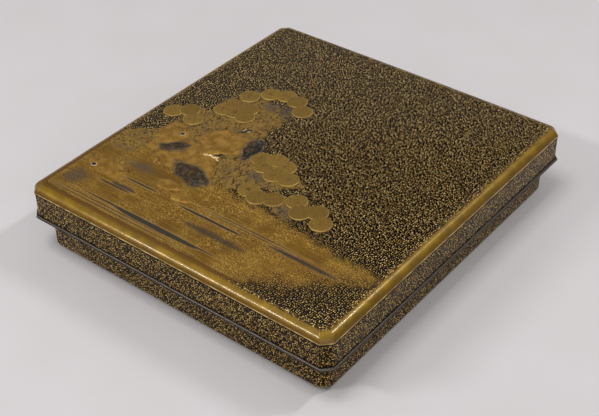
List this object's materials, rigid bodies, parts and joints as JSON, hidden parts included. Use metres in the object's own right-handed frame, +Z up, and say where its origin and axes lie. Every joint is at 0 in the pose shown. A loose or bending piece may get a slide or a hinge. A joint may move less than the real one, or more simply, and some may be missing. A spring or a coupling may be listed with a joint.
{
  "type": "writing box",
  "caption": "Shallow lacquered wooden box with cut corners and a lift-off overhanging lid, gold border and low raised landscape on the lid, pewter lower rim.",
  "frame": {"origin": "middle of the underside of the lower box, on the surface that it stands on", "axes": "+Z up, +X along the width, +Y along the length; the landscape on the lid lies toward -X and -Y"},
  "size_m": [0.2238, 0.2428, 0.0493],
  "materials": {
    "sprinkled_lacquer": "black lacquer sprinkled with gold flakes, satin gloss",
    "gold_lacquer": "black lacquer sprinkled with gold flakes, with gold powder border and picture, satin gloss",
    "pewter": "dull darkened pewter"
  },
  "bodies": {
    "root": {"box": "sprinkled_lacquer", "lid": "gold_lacquer", "lid_rim": "pewter"}
  },
  "joints": []
}
